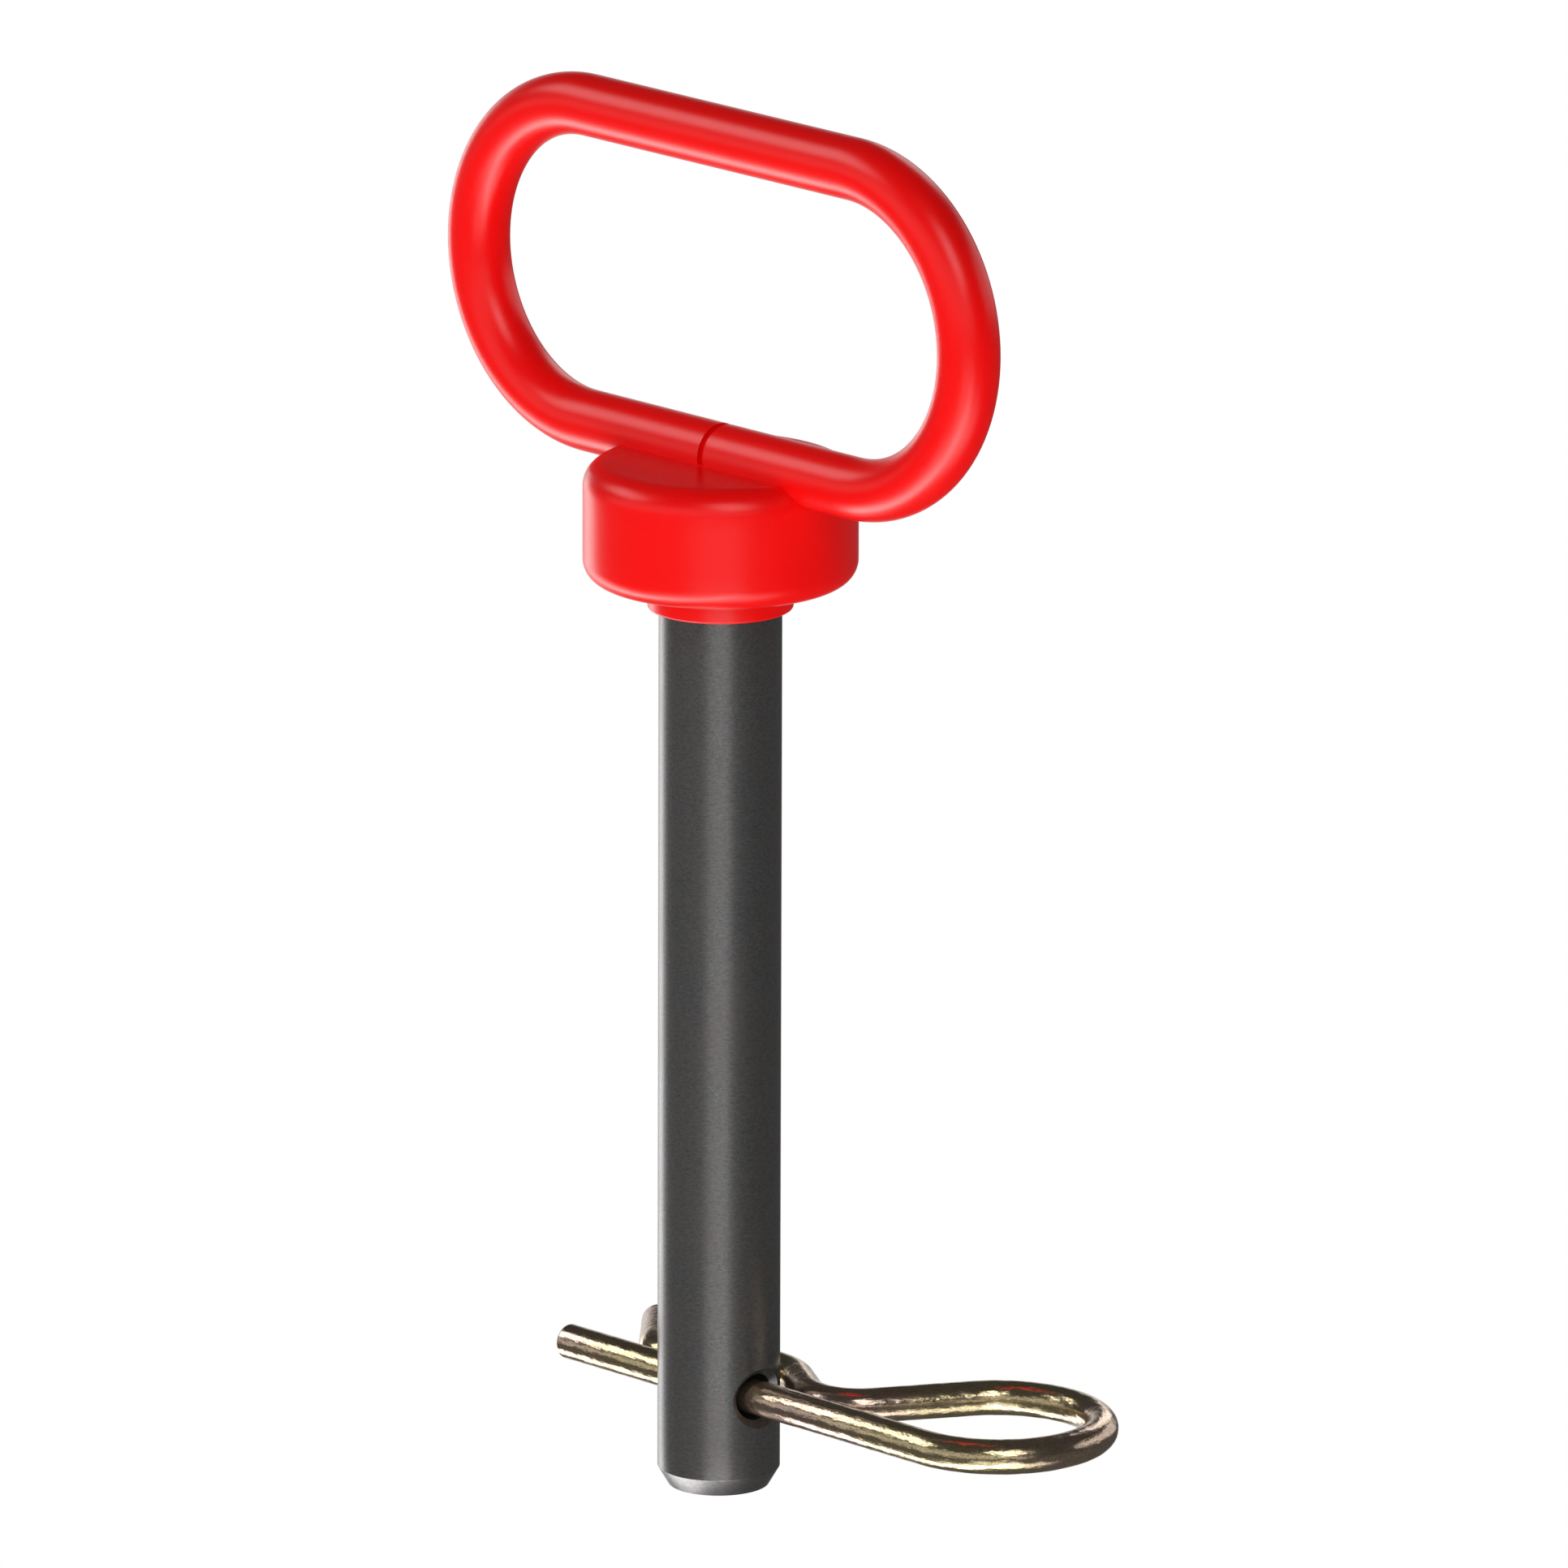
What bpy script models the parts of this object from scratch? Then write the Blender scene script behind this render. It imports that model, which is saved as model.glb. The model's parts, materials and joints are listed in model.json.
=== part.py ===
"""A hitch pin with a loop handle and an R-shaped spring clip, in metres, +Z up.

The origin is the centre of the shank's tip face and +Z runs up the shank to the handle.
The handle lies in the XZ plane. The clip's straight leg runs along X through the cross hole,
with the bow at +X and the spring leg on the +Y side of the shank.
"""

import math

import bpy
from mathutils import Vector

COLLECTION = "hitch_pin"
CUTTERS = "cutters"

GAP = 0.0003                # room between neighbouring solids
MERGE = 0.00001             # merge distance for turned shapes
INCH = 0.0254

# Shank
SHANK_RADIUS = 5 / 8 * INCH / 2
TIP_RADIUS = 0.0066         # flat of the tip, inside the chamfer
TIP_CHAMFER = 0.0023        # chamfer's height
SPIGOT_RADIUS = 0.0055      # reduced end held in the head
SPIGOT_CHAMFER = 0.0005
SPIGOT_LENGTH = 0.0135
HOLE_Z = 0.0129             # cross hole's axis
HOLE_RADIUS = 0.00305
COUNTERSINK = 0.00095       # depth of the countersink's 45 degree cone

# Head and collar, outside the coating
SKIN = 0.0006               # coating thickness
COLLAR_RADIUS = 0.0094
COLLAR_BOTTOM = 0.1171
LIP = 0.0004                # thickness of the coating's lip under the collar
HEAD_RADIUS = 0.0177
HEAD_BOTTOM = 0.1206
HEAD_TOP = 0.1364
LOWER_FILLET = 0.0030
UPPER_FILLET = 0.0033

# Handle: a stadium loop standing on the head
ROD_RADIUS = 1 / 4 * INCH / 2
SLEEVE_RADIUS = 0.00403     # outside of the handle's coating
BEND_RADIUS = 0.02085       # centreline of the two round ends
HALF_STRAIGHT = 0.02427
LOWER_BAR_Z = 0.13724       # the lower bar sinks into the head's top
SEAM = 0.0008               # opening of the coating where the rod's ends meet
BUTT = 0.0006               # opening between the rod's ends

# Weld beads along both sides of the lower bar
WELD_RADIUS = 0.0004
WELD_LENGTH = 0.024
WELD_Y = 0.00355
WELD_Z = 0.1361

# Spring clip: corners of the wire's centreline in its own plane, with the radius of each bend
WIRE_RADIUS = 0.00227
LEG_END_X = -0.0282
BOW_X = 0.0381
BOW_RADIUS = 0.01322
NECK = (0.01645, 0.00212, 0.0068)
HUMP = (0.0, 0.01255, 0.0095)
TROUGH = (-0.01512, 0.00296, 0.0068)
FLARE_END = (-0.02682, 0.01494)

# Fineness
TURN_STEPS = 48
FILLET_STEPS = 4
HOLE_STEPS = 32
BEND_STEP = math.radians(11.25)
ROD_RESOLUTION = 6
WIRE_RESOLUTION = 4


def arc(centre, radius, start, end, steps):
    """Points on an arc in a plane, both ends included."""
    angles = [start + (end - start) * n / steps for n in range(steps + 1)]
    return [(centre[0] + radius * math.cos(a), centre[1] + radius * math.sin(a)) for a in angles]


def bend(centre, radius, start, end):
    """An arc with a point about every BEND_STEP."""
    steps = max(2, math.ceil(abs(end - start) / BEND_STEP))
    return arc(centre, radius, start, end, steps)


def collection(name):
    """A new collection in the scene."""
    made = bpy.data.collections.new(name)
    bpy.context.scene.collection.children.link(made)
    return made


def material(name, colour, roughness, metallic):
    """A Principled material."""
    made = bpy.data.materials.new(name)
    made.use_nodes = True
    shader = made.node_tree.nodes["Principled BSDF"]
    shader.inputs["Base Color"].default_value = (*colour, 1)
    shader.inputs["Roughness"].default_value = roughness
    shader.inputs["Metallic"].default_value = metallic
    return made


def add(name, data, home, finish=None, location=(0, 0, 0)):
    """An object for this data, in a collection and with its material."""
    made = bpy.data.objects.new(name, data)
    home.objects.link(made)
    made.location = location
    if finish:
        data.materials.append(finish)
    return made


def turned(name, outline, home, finish=None, steps=TURN_STEPS):
    """A solid of revolution about Z: the outline of (radius, z) runs down its outer side."""
    mesh = bpy.data.meshes.new(name)
    points = [(radius, 0, z) for radius, z in outline]
    mesh.from_pydata(points, [(n, n + 1) for n in range(len(points) - 1)], [])
    made = add(name, mesh, home, finish)
    screw = made.modifiers.new("turn", "SCREW")
    screw.steps = steps
    screw.render_steps = steps
    screw.use_merge_vertices = True
    screw.merge_threshold = MERGE
    return made


def wire(name, points, radius, resolution, home, finish=None, origin=(0, 0, 0), caps=True):
    """A round wire along these points, with the object's origin at the given place."""
    curve = bpy.data.curves.new(name, "CURVE")
    curve.dimensions = "3D"
    curve.bevel_depth = radius
    curve.bevel_resolution = resolution
    curve.use_fill_caps = caps
    spline = curve.splines.new("POLY")
    spline.points.add(len(points) - 1)
    for place, point in zip(spline.points, points):
        place.co = (*(Vector(point) - Vector(origin)), 1)
    return add(name, curve, home, finish, origin)


def as_mesh(piece):
    """The mesh object that takes a curve object's place."""
    bpy.context.view_layer.update()
    graph = bpy.context.evaluated_depsgraph_get()
    mesh = bpy.data.meshes.new_from_object(piece.evaluated_get(graph))
    name = piece.name
    world = piece.matrix_world.copy()
    home = piece.users_collection[0]
    bpy.data.objects.remove(piece)
    made = bpy.data.objects.new(name, mesh)
    home.objects.link(made)
    made.matrix_world = world
    return made


def cut(piece, cutter):
    """Takes the cutter's volume out of a piece."""
    boolean = piece.modifiers.new("cut", "BOOLEAN")
    boolean.operation = "DIFFERENCE"
    boolean.solver = "EXACT"
    boolean.object = cutter
    cutter.display_type = "WIRE"
    cutter.hide_render = True


def head_outline(inset):
    """The head and collar's outline from the axis down to the collar, moved inwards by inset."""
    radius = HEAD_RADIUS - inset
    upper = UPPER_FILLET - inset
    lower = LOWER_FILLET - inset
    top = HEAD_TOP - inset
    bottom = HEAD_BOTTOM + inset
    outline = [(0, top)]
    outline += arc((radius - upper, top - upper), upper, math.pi / 2, 0, FILLET_STEPS)
    outline += arc((radius - lower, bottom + lower), lower, 0, -math.pi / 2, FILLET_STEPS)
    outline += [(COLLAR_RADIUS - inset, bottom)]
    return outline


def cross_hole_cutter(home):
    """A spool on the X axis: the cross hole and its two countersinks."""
    mouth = SHANK_RADIUS - COUNTERSINK
    end = SHANK_RADIUS + COUNTERSINK
    wide = HOLE_RADIUS + end - mouth
    outline = [(0, end), (wide, end), (HOLE_RADIUS, mouth)]
    outline += [(HOLE_RADIUS, -mouth), (wide, -end), (0, -end)]
    spool = turned("cross_hole_cutter", outline, home, steps=HOLE_STEPS)
    spool.rotation_euler = (0, math.pi / 2, 0)
    spool.location = (0, 0, HOLE_Z)
    return spool


def bar_cutter(name, radius, home):
    """A rod of this radius along the lower bar, as long as the head is wide."""
    bpy.ops.mesh.primitive_cylinder_add(
        vertices=HOLE_STEPS,
        radius=radius,
        depth=2.5 * HEAD_RADIUS,
        location=(0, 0, LOWER_BAR_Z),
        rotation=(0, math.pi / 2, 0),
    )
    rod = bpy.context.active_object
    rod.name = name
    for owner in rod.users_collection:
        owner.objects.unlink(rod)
    home.objects.link(rod)
    return rod


def build_shank(home, cutters, finish):
    """Round bar with a chamfered tip, a cross hole and a reduced spigot at the head end."""
    shoulder = COLLAR_BOTTOM + LIP
    top = shoulder + SPIGOT_LENGTH
    outline = [(0, top), (SPIGOT_RADIUS - SPIGOT_CHAMFER, top)]
    outline += [(SPIGOT_RADIUS, top - SPIGOT_CHAMFER), (SPIGOT_RADIUS, shoulder)]
    outline += [(SHANK_RADIUS, shoulder), (SHANK_RADIUS, TIP_CHAMFER), (TIP_RADIUS, 0), (0, 0)]
    shank = turned("shank", outline, home, finish)
    cut(shank, cross_hole_cutter(cutters))
    return shank


def build_head_boss(home, cutters, finish):
    """Steel disc and hub: a blind socket below for the spigot, a groove on top for the handle."""
    inset = SKIN + GAP
    hub_bottom = COLLAR_BOTTOM + LIP + GAP
    socket = SPIGOT_RADIUS + GAP
    socket_top = COLLAR_BOTTOM + LIP + SPIGOT_LENGTH + GAP
    outline = head_outline(inset)
    outline += [(COLLAR_RADIUS - inset, hub_bottom), (socket, hub_bottom)]
    outline += [(socket, socket_top), (0, socket_top)]
    boss = turned("head_boss", outline, home, finish)
    cut(boss, bar_cutter("groove_cutter", ROD_RADIUS + GAP, cutters))
    return boss


def build_head_coating(home, cutters, finish):
    """The red skin of head and collar: open below round the shank and slotted for the handle."""
    lip = SHANK_RADIUS + GAP
    outline = head_outline(0)
    outline += [(COLLAR_RADIUS, COLLAR_BOTTOM), (lip, COLLAR_BOTTOM), (lip, COLLAR_BOTTOM + LIP)]
    outline += [(COLLAR_RADIUS - SKIN, COLLAR_BOTTOM + LIP)]
    outline += reversed(head_outline(SKIN))
    coating = turned("head_coating", outline, home, finish)
    cut(coating, bar_cutter("slot_cutter", SLEEVE_RADIUS + GAP, cutters))
    return coating


def handle_path(opening):
    """The stadium loop's centreline in the XZ plane, open at the middle of the lower bar."""
    middle = LOWER_BAR_Z + BEND_RADIUS
    quarter = math.pi / 2
    path = [(opening / 2, LOWER_BAR_Z)]
    path += bend((HALF_STRAIGHT, middle), BEND_RADIUS, -quarter, quarter)
    path += bend((-HALF_STRAIGHT, middle), BEND_RADIUS, quarter, 3 * quarter)
    path += [(-opening / 2, LOWER_BAR_Z)]
    return [(x, 0, z) for x, z in path]


def build_handle_rod(home, finish):
    """The steel rod bent to a loop."""
    return wire("handle_rod", handle_path(BUTT), ROD_RADIUS, ROD_RESOLUTION, home, finish)


def build_handle_coating(home, cutters, finish):
    """The red sleeve on the rod: a thin tube, trimmed where the head stands in its way."""
    path = handle_path(SEAM)
    sleeve = as_mesh(wire("handle_coating", path, SLEEVE_RADIUS, ROD_RESOLUTION, home, caps=False))
    sleeve.data.materials.append(finish)
    skin = sleeve.modifiers.new("skin", "SOLIDIFY")
    skin.thickness = SKIN
    skin.offset = -1
    outline = head_outline(-GAP)
    outline += [(0, HEAD_BOTTOM)]
    cut(sleeve, turned("head_cutter", outline, cutters))
    return sleeve


def build_weld(name, side, home, finish):
    """A weld bead along one side of the lower bar, thin at its ends."""
    half = WELD_LENGTH / 2
    path = [(half * share, side * WELD_Y, WELD_Z) for share in (-1, -0.9, 0.9, 1)]
    bead = wire(name, path, WELD_RADIUS, WIRE_RESOLUTION, home, finish)
    bead.data.splines[0].points[0].radius = 0.5
    bead.data.splines[0].points[-1].radius = 0.5
    return bead


def tangent_angle(centre, radius, outside):
    """The angle on a circle, its upper side, where a line to an outside point touches it."""
    reach = Vector(outside) - Vector(centre)
    return math.atan2(reach.y, reach.x) - math.acos(radius / reach.length)


def rounded(start, corners, end):
    """A path from start to end with each (x, y, radius) corner rounded by an arc."""
    path = [start]
    places = [start] + [corner[:2] for corner in corners] + [end]
    for n, (x, y, radius) in enumerate(corners, 1):
        corner = Vector((x, y))
        back = (Vector(places[n - 1]) - corner).normalized()
        ahead = (Vector(places[n + 1]) - corner).normalized()
        half = back.angle(ahead) / 2
        centre = corner + (back + ahead).normalized() * radius / math.sin(half)
        touch = corner + back * radius / math.tan(half) - centre
        leave = corner + ahead * radius / math.tan(half) - centre
        first = math.atan2(touch.y, touch.x)
        turn = -touch.angle_signed(leave)
        path += bend(centre, radius, first, first + turn)
    return path + [end]


def in_clip_plane(path):
    """A flat path laid at the height of the cross hole."""
    return [(x, y, HOLE_Z) for x, y in path]


def split_face(side):
    """Two points at the middle of the bow, square to the split: the face, then a step away from it."""
    x = BOW_X + BOW_RADIUS
    return [(x, BOW_RADIUS + side * GAP / 2), (x, BOW_RADIUS + side * 2 * GAP)]


def build_clip_leg(home, finish):
    """The clip's straight leg through the cross hole and the first quarter of its bow."""
    path = [(LEG_END_X, 0)]
    path += bend((BOW_X, BOW_RADIUS), BOW_RADIUS, -math.pi / 2, -BEND_STEP / 2)
    path += reversed(split_face(-1))
    origin = (0, 0, HOLE_Z)
    return wire("clip_leg", in_clip_plane(path), WIRE_RADIUS, WIRE_RESOLUTION, home, finish, origin)


def build_clip_spring_leg(home, finish):
    """The rest of the bow, then the leg that dips, rides over the shank, dips and flares out."""
    centre = (BOW_X, BOW_RADIUS)
    bow_end = tangent_angle(centre, BOW_RADIUS, NECK[:2]) % (2 * math.pi)
    bow = bend(centre, BOW_RADIUS, BEND_STEP / 2, bow_end)
    path = split_face(1) + bow[:-1]
    path += rounded(bow[-1], [NECK, HUMP, TROUGH], FLARE_END)
    hinge = (BOW_X + BOW_RADIUS, BOW_RADIUS, HOLE_Z)
    points = in_clip_plane(path)
    return wire("clip_spring_leg", points, WIRE_RADIUS, WIRE_RESOLUTION, home, finish, hinge)


def main():
    for old in list(bpy.data.objects):
        bpy.data.objects.remove(old)
    home = collection(COLLECTION)
    cutters = collection(CUTTERS)
    black = material("black_oxide", (0.05, 0.05, 0.052), 0.38, 1.0)
    steel = material("bare_steel", (0.45, 0.45, 0.46), 0.45, 1.0)
    red = material("red_vinyl", (0.75, 0.008, 0.01), 0.25, 0.0)
    zinc = material("yellow_zinc", (0.78, 0.58, 0.30), 0.25, 1.0)

    build_shank(home, cutters, black)
    build_head_boss(home, cutters, steel)
    build_head_coating(home, cutters, red)
    build_handle_rod(home, steel)
    build_handle_coating(home, cutters, red)
    build_weld("weld_front", -1, home, steel)
    build_weld("weld_back", 1, home, steel)
    build_clip_leg(home, zinc)
    build_clip_spring_leg(home, zinc)


main()
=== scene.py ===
"""Looks for the hitch pin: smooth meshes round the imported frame, their finishes, the studio and the camera.

Lengths are in metres. The handle lies in the XZ plane, the shank's axis is Z, and the clip lies flat at the
height of the cross hole, its straight leg along X and its spring leg on the +Y side.

Some numbers are rounded results of least-squares fits made by other programs: the camera's, the clip's
corners, the head's and collar's sizes and the tip's radius. Most of the lights started that way too.
"""

import json
import math

import bmesh
import bpy
import numpy as np
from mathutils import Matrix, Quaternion, Vector, noise


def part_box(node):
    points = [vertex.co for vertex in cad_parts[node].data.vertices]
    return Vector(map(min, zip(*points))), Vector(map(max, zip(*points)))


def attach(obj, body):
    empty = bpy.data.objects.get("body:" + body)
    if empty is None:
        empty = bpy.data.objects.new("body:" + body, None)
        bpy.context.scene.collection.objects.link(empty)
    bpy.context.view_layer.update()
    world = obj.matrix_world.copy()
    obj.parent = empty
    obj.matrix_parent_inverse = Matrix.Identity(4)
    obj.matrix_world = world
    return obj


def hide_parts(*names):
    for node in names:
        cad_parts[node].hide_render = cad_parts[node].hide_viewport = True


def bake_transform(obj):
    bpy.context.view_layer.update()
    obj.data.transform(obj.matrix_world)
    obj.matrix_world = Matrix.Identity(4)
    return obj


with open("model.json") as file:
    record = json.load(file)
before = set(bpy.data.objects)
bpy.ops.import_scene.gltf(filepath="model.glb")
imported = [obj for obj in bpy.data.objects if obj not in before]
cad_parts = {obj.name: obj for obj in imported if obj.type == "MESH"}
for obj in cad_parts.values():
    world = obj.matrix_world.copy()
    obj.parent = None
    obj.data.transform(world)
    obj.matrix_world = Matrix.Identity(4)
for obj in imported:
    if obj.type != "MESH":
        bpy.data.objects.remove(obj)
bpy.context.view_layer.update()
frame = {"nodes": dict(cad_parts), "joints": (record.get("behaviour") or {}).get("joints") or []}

MM = 0.001

# Clip wire: corners of the spring leg's centreline in the clip's plane, with the radius of each bend
NECK = (16.45 * MM, 2.12 * MM, 6.8 * MM)
HUMP = (0.0, 12.55 * MM, 9.5 * MM)
TROUGH = (-15.12 * MM, 2.96 * MM, 6.8 * MM)
FLARE_END = (-26.82 * MM, 14.94 * MM)

# Head: what the frame's boxes don't say
COLLAR_RADIUS = 9.4 * MM
HEAD_BOTTOM = 120.6 * MM
LOWER_FILLET = 3.0 * MM
UPPER_FILLET = 3.3 * MM
COLLAR_EDGE = 0.35 * MM
SKIN = 0.6 * MM
SLEEVE_SKIN = 0.8 * MM       # thicker round the handle

# Seam ring in the handle's coating
SEAM_X = 0.3 * MM            # just off the middle of the lower bar
SEAM_WIDTH = 1.0 * MM
SEAM_DEPTH = 0.74 * MM
SEAM_CLEAR = 0.12 * MM       # where it stops above the head's top

# Shank
TIP_RADIUS = 6.6 * MM
TIP_CHAMFER = 2.3 * MM
HOLE_RADIUS = 3.05 * MM
COUNTERSINK = 0.95 * MM
NECK_STEP = 3.0 * MM         # how much thinner the shank's top is, hidden in the head
EDGE = 0.15 * MM             # broken edges of the steel
EDGE_ROUNDING = ((0.0, 1.0), (0.3, 0.3), (1.0, 0.0))    # of the wire's cut ends: back and inwards, in EDGEs

# Clip wire: its skin is a little uneven
CRINKLE = 0.02 * MM
CRINKLE_LENGTH = 1.7 * MM    # along the wire
CRINKLE_WIDTH = 0.9 * MM     # round the wire
TINT_LENGTH = 48 * MM        # the plating turns from gold to pink and back over this length
TINT_START = 44 * MM         # where along the wire it is pinkest

# Fineness
TURN_STEPS = 192
HOLLOW_STEPS = 98            # out of step with the outside, so no two edges fall together
FILLET_STEPS = 12
EDGE_STEPS = 4
TOP_SPACING = 2.0 * MM       # between the rings on the head's flat top
WALL_RINGS = 6               # on the head's upright wall
TUBE_SIDES = 72
BORE_SIDES = 50              # out of step with the tube, as above
TUBE_STEP = 1.1 * MM
HOLE_STEPS = 96
HOLE_SPACING = 0.5 * MM      # between the shank's rings near the cross hole
NEAR_HOLE = 6.0 * MM         # how far that stretch goes above and below the hole's axis
BAR_RINGS = 40               # on the rest of the shank
BAR_RINGS_END = 8.0 * MM     # how far above the hole's axis those end
WIRE_SIDES = 48
WIRE_STEP = 0.3 * MM

# Edges sharper than these many degrees stay sharp
COATING_CREASE = 28
SHANK_CREASE = 25
WIRE_CREASE = 35

# Colours
RED_CLOUDS = ((0.73, 0.001, 0.0015, 1), (0.77, 0.002, 0.002, 1))
RED_POWDER = (0.50, 0.001, 0.001, 1)
OXIDE_TONES = ((0.15, 0.148, 0.146, 1), (0.26, 0.258, 0.256, 1))
OXIDE_BROWN = (0.20, 0.155, 0.145, 1)
ZINC_GOLD = (0.74, 0.62, 0.36, 1)
ZINC_PINK = (0.74, 0.55, 0.45, 1)
# painted sheen: the zinc's colour toward the wire's outline, where it is seen at a grazing angle
ZINC_SHEEN = (0.60, 0.44, 0.38, 1)
ZINC_WORN = (0.30, 0.21, 0.14, 1)
STEEL_CLEAN = (0.42, 0.42, 0.43, 1)
STEEL_DIRTY = (0.30, 0.27, 0.24, 1)
BLACK = (0, 0, 0, 1)
WHITE = (1, 1, 1, 1)

# Studio, as seen from the object: azimuth 0 is along -Y and 90 along +X, and angles are in degrees.
# Softboxes: (azimuth, elevation, half width, half height, roll, brightness), sized for a distance of 1.
# All but "behind" come from a least-squares fit to the object's shading, rounded and partly changed.
SOFTBOXES = {
    "overhead": (56, 40, 0.26, 0.21, -65, 2.8),
    "left": (-56, 35, 0.32, 0.17, 0, 2.7),
    "low left": (-77, -39, 0.19, 1.3, 42, 2.6),
    "right": (167, 13, 0.68, 0.22, -13, 0.8),
    "back": (208, 22, 0.15, 0.26, 27, 1.6),
    "behind": (233, -12, 0.3, 0.44, 0, 0.7),
    "horizon": (7, 13, 2.45, 0.28, 3, 0.54),
    "table": (-4, -63, 1.32, 0.1, 7, 3.6),
    "table middle": (42, -58, 0.87, 0.28, 4, 1.3),
    "table front": (44, -40, 0.38, 0.44, 3, 1.1),
}
SOFT_EDGE = 0.35             # how far a softbox fades, as a share of its half width
UPPER_FILL = 0.04            # brightness between the softboxes, above and below the horizon
LOWER_FILL = 0.08

# Lamps that light matt colour and leave no reflection: (azimuth, elevation, watts).
# The first four started from a fit too, and were then changed.
FILL_LAMPS = {
    "front fill": (16, 27, 12.2),
    "low fill": (46, -30, 5.0),
    "right fill": (136, -20, 10.5),
    "back fill": (196, 25, 3.5),
    "rear fill": (245, 0, 9.0),
}
FILL_SIZE = 1.2
FILL_DISTANCE = 1.5
FLOOR_SIZE = 12
FLOOR_Z = -0.5 * MM

# Camera: a long lens at the reference view, from a fit of the object's outline, with angles in degrees
CAMERA_AZIMUTH = 45.95
CAMERA_ELEVATION = 15.07
CAMERA_ROLL = 0.17
CAMERA_DISTANCE = 2.797
CAMERA_AIM = (-0.6 * MM, 12.0 * MM, 91.2 * MM)
CAMERA_LENS = 498.4          # mm, on a sensor 36 mm wide
CAMERA_SENSOR = 36
CAMERA_REACH = 50

# What the frame says
hinge = next(joint for joint in frame["joints"] if joint["type"] == "hinge")
shank_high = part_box("shank")[1]
head_low, head_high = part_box("head_coating")
sleeve_low, sleeve_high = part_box("handle_coating")
leg_low, leg_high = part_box("clip_leg")

SHANK_RADIUS = shank_high.x
HEAD_RADIUS = head_high.x
HEAD_TOP = head_high.z
COLLAR_BOTTOM = head_low.z
TUBE_RADIUS = sleeve_high.y
LOWER_BAR_Z = sleeve_low.z + TUBE_RADIUS
BEND_RADIUS = (sleeve_high.z - sleeve_low.z) / 2 - TUBE_RADIUS
LOOP_Z = LOWER_BAR_Z + BEND_RADIUS
HALF_STRAIGHT = sleeve_high.x - TUBE_RADIUS - BEND_RADIUS
HOLE_Z = hinge["pos_m"][2]
BOW_RADIUS = hinge["pos_m"][1]
BOW_X = hinge["pos_m"][0] - BOW_RADIUS
WIRE_RADIUS = (leg_high.z - leg_low.z) / 2
LEG_END_X = leg_low.x


# ---------------------------------------------------------------- mesh helpers

def new_object(name, mesh, finish=None):
    """An object for a mesh, in the scene and with its finish if it has one."""
    made = bpy.data.objects.new(name, mesh)
    bpy.context.scene.collection.objects.link(made)
    if finish:
        mesh.materials.append(finish)
    return made


def shade(piece, crease):
    """Smooth shading, with the edges that bend by more than crease degrees kept sharp."""
    piece.data.shade_smooth()
    piece.data.set_sharp_from_angle(angle=math.radians(crease))


def arc(centre, radius, start, end, steps):
    """Points on an arc in a plane, both ends included."""
    angles = np.linspace(start, end, steps + 1)
    return [(centre[0] + radius * math.cos(a), centre[1] + radius * math.sin(a)) for a in angles]


def lathe(name, outline, finish=None, steps=TURN_STEPS):
    """A closed solid of revolution about Z from an outline of (radius, z) running down its outer side."""
    rings = bmesh.new()
    rows = []
    for radius, z in outline:
        if radius == 0:
            rows.append([rings.verts.new((0, 0, z))])
            continue
        turn = [2 * math.pi * n / steps for n in range(steps)]
        rows.append([rings.verts.new((radius * math.cos(a), radius * math.sin(a), z)) for a in turn])
    for upper, lower in zip(rows, rows[1:]):
        for n in range(steps):
            m = (n + 1) % steps
            corners = [upper[n % len(upper)], lower[n % len(lower)]]
            corners += [lower[m % len(lower)], upper[m % len(upper)]]
            rings.faces.new(list(dict.fromkeys(corners)))
    mesh = bpy.data.meshes.new(name)
    rings.to_mesh(mesh)
    rings.free()
    return new_object(name, mesh, finish)


def loft(name, rings, finish=None, closed=False):
    """A skin over rings of points, each joined to the next: capped at both ends, or closed on itself."""
    rings = np.asarray(rings, float)
    count, sides = rings.shape[:2]
    faces = []
    for n in range(count if closed else count - 1):
        m = (n + 1) % count
        for k in range(sides):
            j = (k + 1) % sides
            faces.append((n * sides + k, n * sides + j, m * sides + j, m * sides + k))
    if not closed:
        faces.append(tuple(range(sides))[::-1])
        faces.append(tuple((count - 1) * sides + k for k in range(sides)))
    mesh = bpy.data.meshes.new(name)
    mesh.from_pydata(rings.reshape(-1, 3).tolist(), [], faces)
    outward = bmesh.new()
    outward.from_mesh(mesh)
    bmesh.ops.recalc_face_normals(outward, faces=outward.faces)
    outward.to_mesh(mesh)
    outward.free()
    return new_object(name, mesh, finish)


def tube_rings(points, radii, sides, up, closed=False):
    """Rings round a flat path, square to it.

    radii holds one radius for each ring, or one for each of its points. The path's plane is square to up.
    """
    points = np.array(points, float)
    if closed:
        ahead = np.roll(points, -1, axis=0) - np.roll(points, 1, axis=0)
    else:
        ahead = np.gradient(points, axis=0)
    ahead /= np.linalg.norm(ahead, axis=1)[:, None]
    up = np.array(up, float)
    side = np.cross(ahead, up)
    turn = np.linspace(0, 2 * math.pi, sides, endpoint=False)
    ring = side[:, None] * np.cos(turn)[None, :, None] + up[None, None] * np.sin(turn)[None, :, None]
    radii = np.broadcast_to(np.reshape(radii, (len(points), -1)), (len(points), sides))
    return points[:, None] + ring * radii[..., None]


def apply_modifiers(piece):
    """Bakes a piece's modifiers into its mesh."""
    graph = bpy.context.evaluated_depsgraph_get()
    mesh = bpy.data.meshes.new_from_object(piece.evaluated_get(graph))
    piece.modifiers.clear()
    piece.data = mesh


def carve(piece, cutter, operation="DIFFERENCE"):
    """Cuts a piece with another object, or joins them, and removes that object."""
    boolean = piece.modifiers.new("carve", "BOOLEAN")
    boolean.operation = operation
    boolean.solver = "EXACT"
    boolean.object = cutter
    apply_modifiers(piece)
    bpy.data.objects.remove(cutter)


# ---------------------------------------------------------------- red coating

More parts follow.
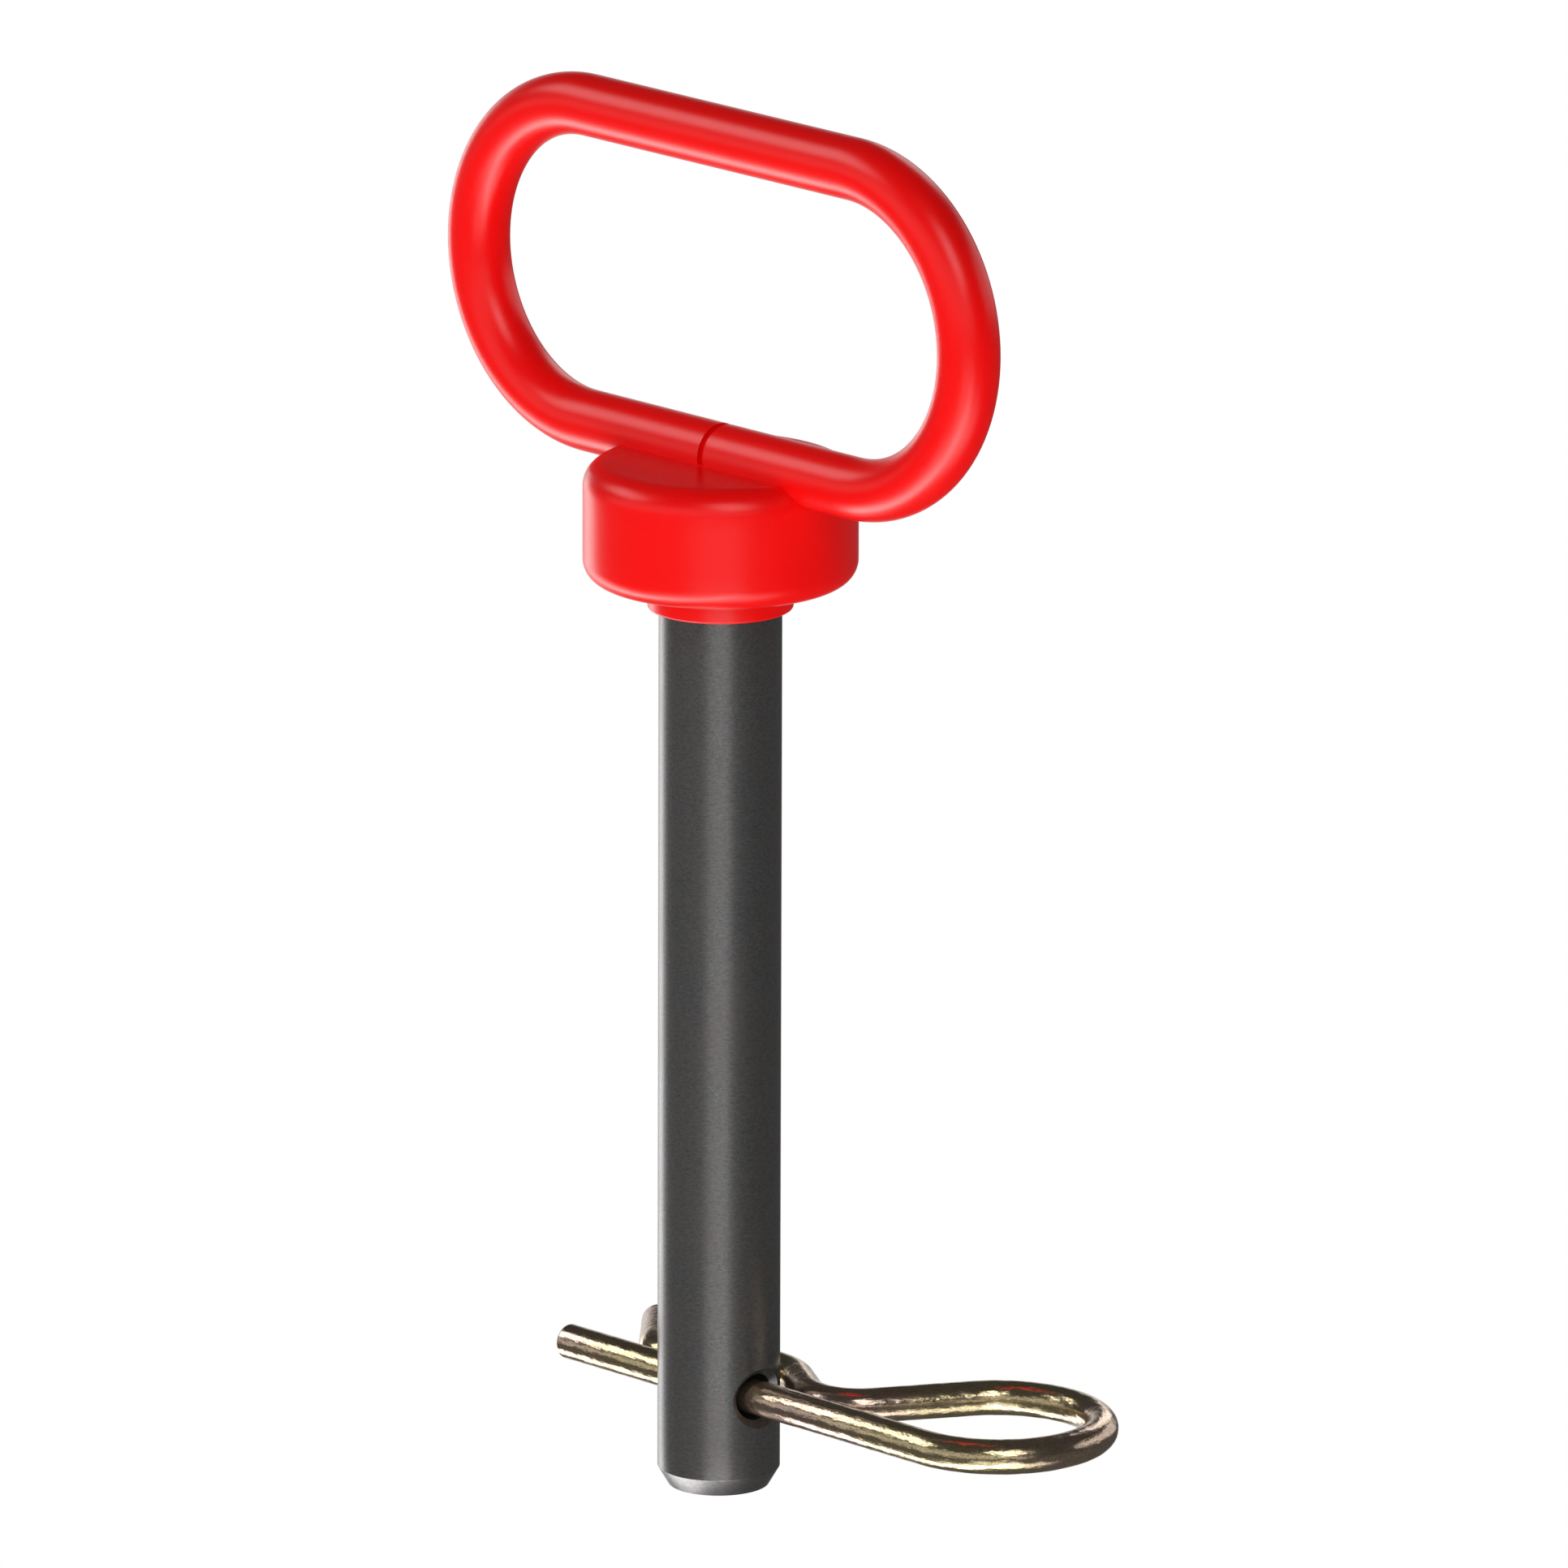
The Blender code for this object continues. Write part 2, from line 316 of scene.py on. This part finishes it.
def head_outline(inset):
    """The head and collar's outline from the axis down to the collar, moved inwards by inset."""
    upper = UPPER_FILLET - inset
    lower = LOWER_FILLET - inset
    radius = HEAD_RADIUS - inset
    top = HEAD_TOP - inset
    bottom = HEAD_BOTTOM + inset
    outline = [(0, top)]
    outline += [(flat, top) for flat in np.arange(TOP_SPACING, radius - upper, TOP_SPACING)]
    outline += arc((radius - upper, top - upper), upper, math.pi / 2, 0, FILLET_STEPS)
    outline += [(radius, z) for z in np.linspace(top - upper, bottom + lower, WALL_RINGS)[1:-1]]
    outline += arc((radius - lower, bottom + lower), lower, 0, -math.pi / 2, FILLET_STEPS)
    outline += [(COLLAR_RADIUS - inset, bottom)]
    return outline


def loop_path():
    """The closed centreline of the handle."""
    bend_steps = round(math.pi * BEND_RADIUS / TUBE_STEP)
    bar_steps = 2 * round(HALF_STRAIGHT / TUBE_STEP) + 1
    along = np.linspace(-HALF_STRAIGHT, HALF_STRAIGHT, bar_steps, endpoint=False)
    path = [(x, LOOP_Z - BEND_RADIUS) for x in along]
    path += arc((HALF_STRAIGHT, LOOP_Z), BEND_RADIUS, -math.pi / 2, math.pi / 2, bend_steps)[:-1]
    path += [(-x, LOOP_Z + BEND_RADIUS) for x in along]
    path += arc((-HALF_STRAIGHT, LOOP_Z), BEND_RADIUS, math.pi / 2, 3 * math.pi / 2, bend_steps)[:-1]
    return [(x, 0, z) for x, z in path]


def loop_tube(name, radius, sides):
    """A closed tube round the handle's centreline."""
    path = loop_path()
    rings = tube_rings(path, [radius] * len(path), sides, (0, 1, 0), closed=True)
    return loft(name, rings, closed=True)


def make_coating(finish):
    """One dipped skin over head, collar and handle, open below and hollow over the steel."""
    outline = head_outline(0)
    corner = (COLLAR_RADIUS - COLLAR_EDGE, COLLAR_BOTTOM + COLLAR_EDGE)
    outline += arc(corner, COLLAR_EDGE, 0, -math.pi / 2, EDGE_STEPS)
    outline += [(0, COLLAR_BOTTOM)]
    coating = lathe("red_coating", outline, finish)
    carve(coating, loop_tube("loop", TUBE_RADIUS, TUBE_SIDES), "UNION")
    mouth = SHANK_RADIUS + EDGE
    inside = head_outline(SKIN)
    inside += [(COLLAR_RADIUS - SKIN, COLLAR_BOTTOM + SKIN), (mouth, COLLAR_BOTTOM + SKIN)]
    inside += [(mouth, COLLAR_BOTTOM - SKIN), (0, COLLAR_BOTTOM - SKIN)]
    hollow = lathe("hollow", inside, steps=HOLLOW_STEPS)
    carve(hollow, loop_tube("bore", TUBE_RADIUS - SLEEVE_SKIN, BORE_SIDES), "UNION")
    carve(coating, hollow)
    carve(coating, seam_cutter())
    shade(coating, COATING_CREASE)
    return coating


def seam_cutter():
    """A thin ring round the lower bar, stopping where the bar meets the head's top."""
    inner = TUBE_RADIUS - SEAM_DEPTH
    outer = TUBE_RADIUS + SEAM_DEPTH
    half = SEAM_WIDTH / 2
    corners = [(-half, inner), (half, inner), (half, outer), (-half, outer)]
    dip = math.asin((HEAD_TOP + SEAM_CLEAR - LOWER_BAR_Z) / TUBE_RADIUS)
    rings = []
    for angle in np.linspace(dip, math.pi - dip, TUBE_SIDES // 2 + 1):
        y, z = math.cos(angle), math.sin(angle)
        rings.append([(SEAM_X + x, y * reach, LOWER_BAR_Z + z * reach) for x, reach in corners])
    return loft("seam", rings)


# ---------------------------------------------------------------- shank

def make_shank(finish):
    """The bar: a chamfered tip, a countersunk cross hole, and a thinner top inside the head."""
    top = shank_high.z
    shoulder = COLLAR_BOTTOM + SKIN
    slope = math.atan2(SHANK_RADIUS - TIP_RADIUS, TIP_CHAMFER)
    near_hole = np.arange(HOLE_Z - NEAR_HOLE, HOLE_Z + NEAR_HOLE, HOLE_SPACING)
    outline = [(0, top), (SHANK_RADIUS - NECK_STEP, top), (SHANK_RADIUS - NECK_STEP, shoulder)]
    outline += [(SHANK_RADIUS, shoulder)]
    outline += [(SHANK_RADIUS, z) for z in np.linspace(COLLAR_BOTTOM, HOLE_Z + BAR_RINGS_END, BAR_RINGS)]
    outline += [(SHANK_RADIUS, z) for z in near_hole[::-1]]
    outline += arc((SHANK_RADIUS - EDGE, TIP_CHAMFER + EDGE), EDGE, 0, -slope, EDGE_STEPS - 1)
    outline += arc((TIP_RADIUS - EDGE, EDGE), EDGE, -slope, -math.pi / 2, EDGE_STEPS)
    outline += [(0, 0)]
    shank = lathe("shank_bar", outline, finish)
    carve(shank, hole_cutter())
    shade(shank, SHANK_CREASE)
    return shank


def hole_cutter():
    """The cross hole, with a countersink as wide all round both of its mouths."""
    turn = np.linspace(0, 2 * math.pi, HOLE_STEPS, endpoint=False)

    def ring(side, radius, depth):
        y = radius * np.cos(turn)
        x = np.sqrt(SHANK_RADIUS ** 2 - y ** 2) - depth
        return np.stack([side * x, y, HOLE_Z + radius * np.sin(turn)], axis=1)

    far = 2 * SHANK_RADIUS
    rings = []
    for side in (1, -1):
        neck = ring(side, HOLE_RADIUS, COUNTERSINK)
        mouth = ring(side, HOLE_RADIUS + COUNTERSINK, 0)
        beyond = mouth + (mouth - neck) / 2
        outside = beyond.copy()
        outside[:, 0] = side * far
        rings.append([outside, beyond, neck])
    return loft("hole", rings[0] + rings[1][::-1])


# ---------------------------------------------------------------- clip

def rounded(start, corners, end, spacing):
    """A path from start to end with each (x, y, radius) corner rounded, a point about every spacing."""
    path = []
    places = [start] + [corner[:2] for corner in corners] + [end]
    leave_last = Vector(start)
    for n, (x, y, radius) in enumerate(corners, 1):
        corner = Vector((x, y))
        back = (Vector(places[n - 1]) - corner).normalized()
        ahead = (Vector(places[n + 1]) - corner).normalized()
        half = back.angle(ahead) / 2
        centre = corner + (back + ahead).normalized() * radius / math.sin(half)
        touch = corner + back * radius / math.tan(half)
        leave = corner + ahead * radius / math.tan(half)
        path += line(leave_last, touch, spacing)
        first = math.atan2(*(touch - centre).yx)
        turn = -(touch - centre).angle_signed(leave - centre)
        steps = max(EDGE_STEPS, round(abs(turn) * radius / spacing))
        path += arc(centre, radius, first, first + turn, steps)[:-1]
        leave_last = leave
    return path + line(leave_last, Vector(end), spacing) + [tuple(end)]


def line(start, end, spacing):
    """Points on a straight line, its end left out."""
    steps = max(1, round((end - start).length / spacing))
    return [tuple(start.lerp(end, n / steps)) for n in range(steps)]


def tangent_angle(centre, radius, outside):
    """The angle on a circle, its upper side, where a line to an outside point touches it."""
    reach = Vector(outside) - Vector(centre)
    return (math.atan2(reach.y, reach.x) - math.acos(radius / reach.length)) % (2 * math.pi)


def wire(name, path, finish, ends=(False, False), start=0.0):
    """A length of the clip's wire that begins start metres along it, and where it ends.

    An end marked True is the wire's real cut end, with its edge broken. Each point remembers where it would
    be on the straightened wire, for the grain of the finish.
    """
    path = list(path)
    radii = [WIRE_RADIUS] * len(path)
    if ends[0]:
        path, radii = broken_end(path, radii)
    if ends[1]:
        path, radii = broken_end(path[::-1], radii[::-1])
        path, radii = path[::-1], radii[::-1]
    points = np.array([(x, y, HOLE_Z) for x, y in path])
    steps = np.linalg.norm(np.diff(points, axis=0), axis=1)
    along = start + np.concatenate([[0], np.cumsum(steps)])
    turn = np.linspace(0, 2 * math.pi, WIRE_SIDES, endpoint=False)
    straight = np.empty((len(path), WIRE_SIDES, 3))
    straight[..., 0] = along[:, None]
    straight[..., 1] = WIRE_RADIUS * np.cos(turn)
    straight[..., 2] = WIRE_RADIUS * np.sin(turn)
    scale = np.array([1 / CRINKLE_LENGTH, 1 / CRINKLE_WIDTH, 1 / CRINKLE_WIDTH])
    crinkle = np.array([noise.noise(Vector(place)) for place in (straight * scale).reshape(-1, 3)])
    uneven = np.array(radii)[:, None] + CRINKLE * crinkle.reshape(len(path), WIRE_SIDES)
    made = loft(name, tube_rings(points, uneven, WIRE_SIDES, (0, 0, 1)), finish)
    place = made.data.attributes.new("straight", "FLOAT_VECTOR", "POINT")
    place.data.foreach_set("vector", straight.astype(np.float32).ravel())
    shade(made, WIRE_CREASE)
    return made, along[-1]


def broken_end(path, radii):
    """The path and radii with the first point's edge broken."""
    end = Vector(path[0])
    back = (Vector(path[1]) - end).normalized()
    rounded_path = [tuple(end + back * EDGE * along) for along, _ in EDGE_ROUNDING]
    rounded_radii = [WIRE_RADIUS - inwards * EDGE for _, inwards in EDGE_ROUNDING]
    return rounded_path + path[1:], rounded_radii + radii[1:]


def make_clip(finish):
    """The wire in three lengths that meet flush: straight leg, round bow, and the waved spring leg."""
    centre = (BOW_X, BOW_RADIUS)
    quarter = math.pi / 2
    steps = round(math.pi * BOW_RADIUS / WIRE_STEP)
    straight = line(Vector((LEG_END_X, 0)), Vector((BOW_X, 0)), WIRE_STEP) + [(BOW_X, 0)]
    bow = arc(centre, BOW_RADIUS, -quarter, quarter, steps)
    bow_end = tangent_angle(centre, BOW_RADIUS, NECK[:2])
    rest = arc(centre, BOW_RADIUS, quarter, bow_end, steps // 3)    # turns a third as far as the bow
    waved = rest[:-1] + rounded(rest[-1], [NECK, HUMP, TROUGH], FLARE_END, WIRE_STEP)
    leg, reached = wire("clip_straight_leg", straight, finish, (True, False))
    arch, reached = wire("clip_bow", bow, finish, start=reached)
    spring, _ = wire("clip_waved_leg", waved, finish, (False, True), start=reached)
    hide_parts("clip_leg")
    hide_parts("clip_spring_leg")
    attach(leg, "clip")
    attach(spring, "clip_spring")
    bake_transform(arch)
    return [leg, arch, spring]


# ---------------------------------------------------------------- node helpers

def add_node(tree, kind, inputs, **settings):
    """A shader node with its settings, and its inputs set to values or linked to sockets."""
    made = tree.nodes.new("ShaderNode" + kind)
    for name, value in settings.items():
        setattr(made, name, value)
    for name, value in inputs.items():
        if isinstance(value, bpy.types.NodeSocket):
            tree.links.new(value, made.inputs[name])
        else:
            made.inputs[name].default_value = value
    return made


def calculate(tree, operation, first, second=0.0):
    """The result of a math node."""
    return add_node(tree, "Math", {0: first, 1: second}, operation=operation).outputs[0]


def grain(tree, place, stretch, detail=3.0, roughness=0.55):
    """Noise from 0 to 1 with this many patches a metre along each axis."""
    scaled = add_node(tree, "VectorMath", {0: place, 1: stretch}, operation="MULTIPLY").outputs[0]
    inputs = {"Vector": scaled, "Scale": 1.0, "Detail": detail, "Roughness": roughness}
    return add_node(tree, "TexNoise", inputs).outputs["Fac"]


def remap(tree, value, low, high, to_low, to_high, shape="LINEAR"):
    """A value between low and high moved to between to_low and to_high, and held there outside."""
    inputs = {"Value": value, "From Min": low, "From Max": high, "To Min": to_low, "To Max": to_high}
    return add_node(tree, "MapRange", inputs, interpolation_type=shape).outputs[0]


def blend_colour(tree, share, first, second):
    """A colour between two others."""
    mixed = add_node(tree, "Mix", {0: share, 6: first, 7: second}, data_type="RGBA")
    return mixed.outputs[2]


def raised(tree, height, depth):
    """A bump of a height map that is depth metres deep."""
    return add_node(tree, "Bump", {"Height": height, "Distance": depth, "Strength": 1.0}).outputs["Normal"]


def finish_of(name, place_name=None):
    """A new material, its node tree, its shader and where on the piece a point is."""
    made = bpy.data.materials.new(name)
    made.use_nodes = True
    tree = made.node_tree
    if place_name:
        place = add_node(tree, "Attribute", {}, attribute_name=place_name).outputs["Vector"]
    else:
        place = add_node(tree, "TexCoord", {}).outputs["Object"]
    return made, tree, tree.nodes["Principled BSDF"], place


def set_inputs(tree, shader, inputs):
    """Sets or links a shader's inputs by name."""
    for name, value in inputs.items():
        if isinstance(value, bpy.types.NodeSocket):
            tree.links.new(value, shader.inputs[name])
        else:
            shader.inputs[name].default_value = value


# ---------------------------------------------------------------- finishes

def red_vinyl():
    """Dipped vinyl: saturated red, satin, with a fine pebbled skin and slightly cloudy colour."""
    made, tree, shader, place = finish_of("red_vinyl")
    cloud = grain(tree, place, (90, 90, 90))
    pebble = grain(tree, place, (1100, 1100, 1100), detail=1.0)
    powder = grain(tree, place, (4500, 4500, 4500), detail=1.0)
    colour = blend_colour(tree, cloud, *RED_CLOUDS)
    set_inputs(tree, shader, {
        "Base Color": blend_colour(tree, remap(tree, powder, 0.3, 0.7, 0.0, 0.12), colour, RED_POWDER),
        "Roughness": remap(tree, pebble, 0.3, 0.7, 0.285, 0.315),
        "Normal": raised(tree, pebble, 0.0015 * MM),
    })
    return made


def black_oxide():
    """Turned steel, blackened: dark satin metal with fine rings round it and a faint brown bloom."""
    made, tree, shader, place = finish_of("black_oxide")
    rings = grain(tree, place, (1500, 1500, 4200))
    speckle = grain(tree, place, (4500, 4500, 4500), detail=2.0)
    bloom = grain(tree, place, (160, 160, 90))
    half_rings = calculate(tree, "MULTIPLY", rings, 0.5)
    half_speckle = calculate(tree, "MULTIPLY", speckle, 0.5)
    tone = calculate(tree, "ADD", half_rings, half_speckle)
    dark = blend_colour(tree, remap(tree, tone, 0.35, 0.65, 0, 1), *OXIDE_TONES)
    brown_spots = remap(tree, speckle, 0.45, 0.65, 0, 1)
    brown = calculate(tree, "MULTIPLY", brown_spots, remap(tree, bloom, 0.4, 0.7, 0.1, 0.8))
    set_inputs(tree, shader, {
        "Base Color": blend_colour(tree, brown, dark, OXIDE_BROWN),
        "Metallic": 0.9,
        "Roughness": remap(tree, bloom, 0.3, 0.7, 0.29, 0.33),
        "Normal": raised(tree, speckle, 0.004 * MM),
    })
    return made


def yellow_zinc():
    """Yellow zinc plating on drawn wire: bright gold to pinkish bronze, crinkled and streaked, with painted
    sheen.
    """
    made, tree, shader, place = finish_of("yellow_zinc", "straight")
    along = add_node(tree, "SeparateXYZ", {"Vector": place}).outputs["X"]
    turns = calculate(tree, "SUBTRACT", along, TINT_START)
    drift = calculate(tree, "COSINE", calculate(tree, "MULTIPLY", turns, 2 * math.pi / TINT_LENGTH))
    patch = remap(tree, grain(tree, place, (150, 300, 300), detail=2.0), 0.3, 0.7, -0.5, 0.5)
    pink = remap(tree, calculate(tree, "ADD", drift, patch), -0.4, 1.1, 0, 1)
    streak = grain(tree, place, (520, 2100, 2100))
    flake = grain(tree, place, (700, 1500, 1500), detail=2.0, roughness=0.5)
    speckle = grain(tree, place, (5200, 5200, 5200), detail=1.0)
    gold = blend_colour(tree, pink, ZINC_GOLD, ZINC_PINK)
    rubbed = remap(tree, streak, 0.42, 0.7, 0, 0.3)
    worn = calculate(tree, "ADD", rubbed, remap(tree, speckle, 0.45, 0.75, 0, 0.6))
    # Painted sheen: toward the wire's outline, seen at a grazing angle, the colour turns pinkish brown
    edge = add_node(tree, "LayerWeight", {"Blend": 0.35}).outputs["Facing"]
    gold_and_sheen = blend_colour(tree, remap(tree, edge, 0.3, 0.95, 0, 0.5), gold, ZINC_SHEEN)
    set_inputs(tree, shader, {
        "Base Color": blend_colour(tree, worn, gold_and_sheen, ZINC_WORN),
        "Metallic": 0.97,
        "Roughness": remap(tree, streak, 0.3, 0.7, 0.13, 0.22),
        "Normal": raised(tree, flake, 0.07 * MM),
    })
    return made


def bare_steel():
    """Drawn mild steel as it is under the coating: grey with fine scratches and a little dirt."""
    made, tree, shader, place = finish_of("bare_steel")
    scratch = grain(tree, place, (900, 900, 4000))
    dirt = grain(tree, place, (260, 260, 260))
    set_inputs(tree, shader, {
        "Base Color": blend_colour(tree, dirt, STEEL_CLEAN, STEEL_DIRTY),
        "Metallic": 1.0,
        "Roughness": remap(tree, scratch, 0.3, 0.7, 0.35, 0.55),
        "Normal": raised(tree, scratch, 0.004 * MM),
    })
    return made


# ---------------------------------------------------------------- studio

def heading(azimuth, elevation):
    """The direction at an azimuth and elevation in degrees."""
    a, e = math.radians(azimuth), math.radians(elevation)
    return Vector((math.sin(a) * math.cos(e), -math.cos(a) * math.cos(e), math.sin(e)))


def along_axis(tree, direction, axis):
    """How much of a direction lies along an axis."""
    return add_node(tree, "VectorMath", {0: direction, 1: axis}, operation="DOT_PRODUCT").outputs["Value"]


def softbox(tree, direction, azimuth, elevation, half_width, half_height, roll, brightness):
    """The brightness along a direction of a rectangle of light with soft edges."""
    centre = heading(azimuth, elevation)
    across = Vector((0, 0, 1)).cross(centre).normalized()
    upward = centre.cross(across)
    turn = Quaternion(centre, math.radians(roll))
    ahead = along_axis(tree, direction, centre)
    light = remap(tree, ahead, 0.0, 0.05, 0.0, brightness)
    for axis, half in ((across, half_width), (upward, half_height)):
        axis.rotate(turn)
        off = along_axis(tree, direction, axis)
        off = calculate(tree, "ABSOLUTE", calculate(tree, "DIVIDE", off, ahead))
        inside = remap(tree, off, half * (1 - SOFT_EDGE), half * (1 + SOFT_EDGE), 1.0, 0.0, "SMOOTHSTEP")
        light = calculate(tree, "MULTIPLY", light, inside)
    return light


def studio():
    """Soft light all round from a few softboxes, and white behind the object for the camera."""
    world = bpy.data.worlds.new("studio")
    world.use_nodes = True
    tree = world.node_tree
    direction = add_node(tree, "TexCoord", {}).outputs["Generated"]
    height = add_node(tree, "SeparateXYZ", {"Vector": direction}).outputs["Z"]
    light = remap(tree, height, -0.1, 0.1, LOWER_FILL, UPPER_FILL)
    for place in SOFTBOXES.values():
        light = calculate(tree, "ADD", light, softbox(tree, direction, *place))
    from_camera = add_node(tree, "LightPath", {}).outputs["Is Camera Ray"]
    shown = blend_colour(tree, from_camera, light, WHITE)
    set_inputs(tree, tree.nodes["Background"], {"Color": shown})
    bpy.context.scene.world = world
    bpy.context.scene.view_settings.view_transform = "Standard"


def white_floor():
    """A plain white floor that only the camera sees."""
    bpy.ops.mesh.primitive_plane_add(size=FLOOR_SIZE, location=(0, 0, FLOOR_Z))
    floor = bpy.context.active_object
    floor.name = "floor"
    made, tree, shader, _ = finish_of("floor_white")
    set_inputs(tree, shader, {
        "Base Color": BLACK,
        "Specular IOR Level": 0.0,
        "Emission Color": WHITE,
        "Emission Strength": 1.0,
    })
    floor.data.materials.append(made)
    floor.visible_diffuse = False
    floor.visible_glossy = False
    floor.visible_transmission = False
    floor.visible_shadow = False


def fill_lamps():
    """Wide lamps that brighten matt colour and don't show in reflections."""
    for name, (azimuth, elevation, watts) in FILL_LAMPS.items():
        data = bpy.data.lights.new(name, "AREA")
        data.size = FILL_SIZE
        data.energy = watts
        data.cycles.use_multiple_importance_sampling = False
        lamp = bpy.data.objects.new(name, data)
        bpy.context.scene.collection.objects.link(lamp)
        back = heading(azimuth, elevation)
        lamp.location = back * FILL_DISTANCE + Vector((0, 0, HEAD_TOP / 2))
        lamp.rotation_euler = (-back).to_track_quat("-Z", "Y").to_euler()
        lamp.visible_glossy = False
        lamp.visible_camera = False


def camera():
    """A long lens at the reference view."""
    data = bpy.data.cameras.new("camera")
    data.lens = CAMERA_LENS
    data.sensor_width = CAMERA_SENSOR
    data.clip_end = CAMERA_REACH
    eye = bpy.data.objects.new("camera", data)
    bpy.context.scene.collection.objects.link(eye)
    back = heading(CAMERA_AZIMUTH, CAMERA_ELEVATION)
    eye.location = Vector(CAMERA_AIM) + back * CAMERA_DISTANCE
    eye.rotation_euler = (-back).to_track_quat("-Z", "Y").to_euler()
    eye.rotation_euler.rotate_axis("Z", math.radians(CAMERA_ROLL))
    bpy.context.scene.camera = eye


# ---------------------------------------------------------------- the object

red = red_vinyl()
black = black_oxide()
zinc = yellow_zinc()
steel = bare_steel()

coating = make_coating(red)
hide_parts("head_coating", "handle_coating")
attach(coating, "pin")

shank = make_shank(black)
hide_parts("shank")
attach(shank, "pin")

for piece in make_clip(zinc):
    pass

# The steel under the coating keeps the frame's own shapes
for node in ("head_boss", "handle_rod", "weld_front", "weld_back"):
    mesh = frame["nodes"][node].data
    mesh.materials.clear()
    mesh.materials.append(steel)

studio()
white_floor()
fill_lamps()
camera()
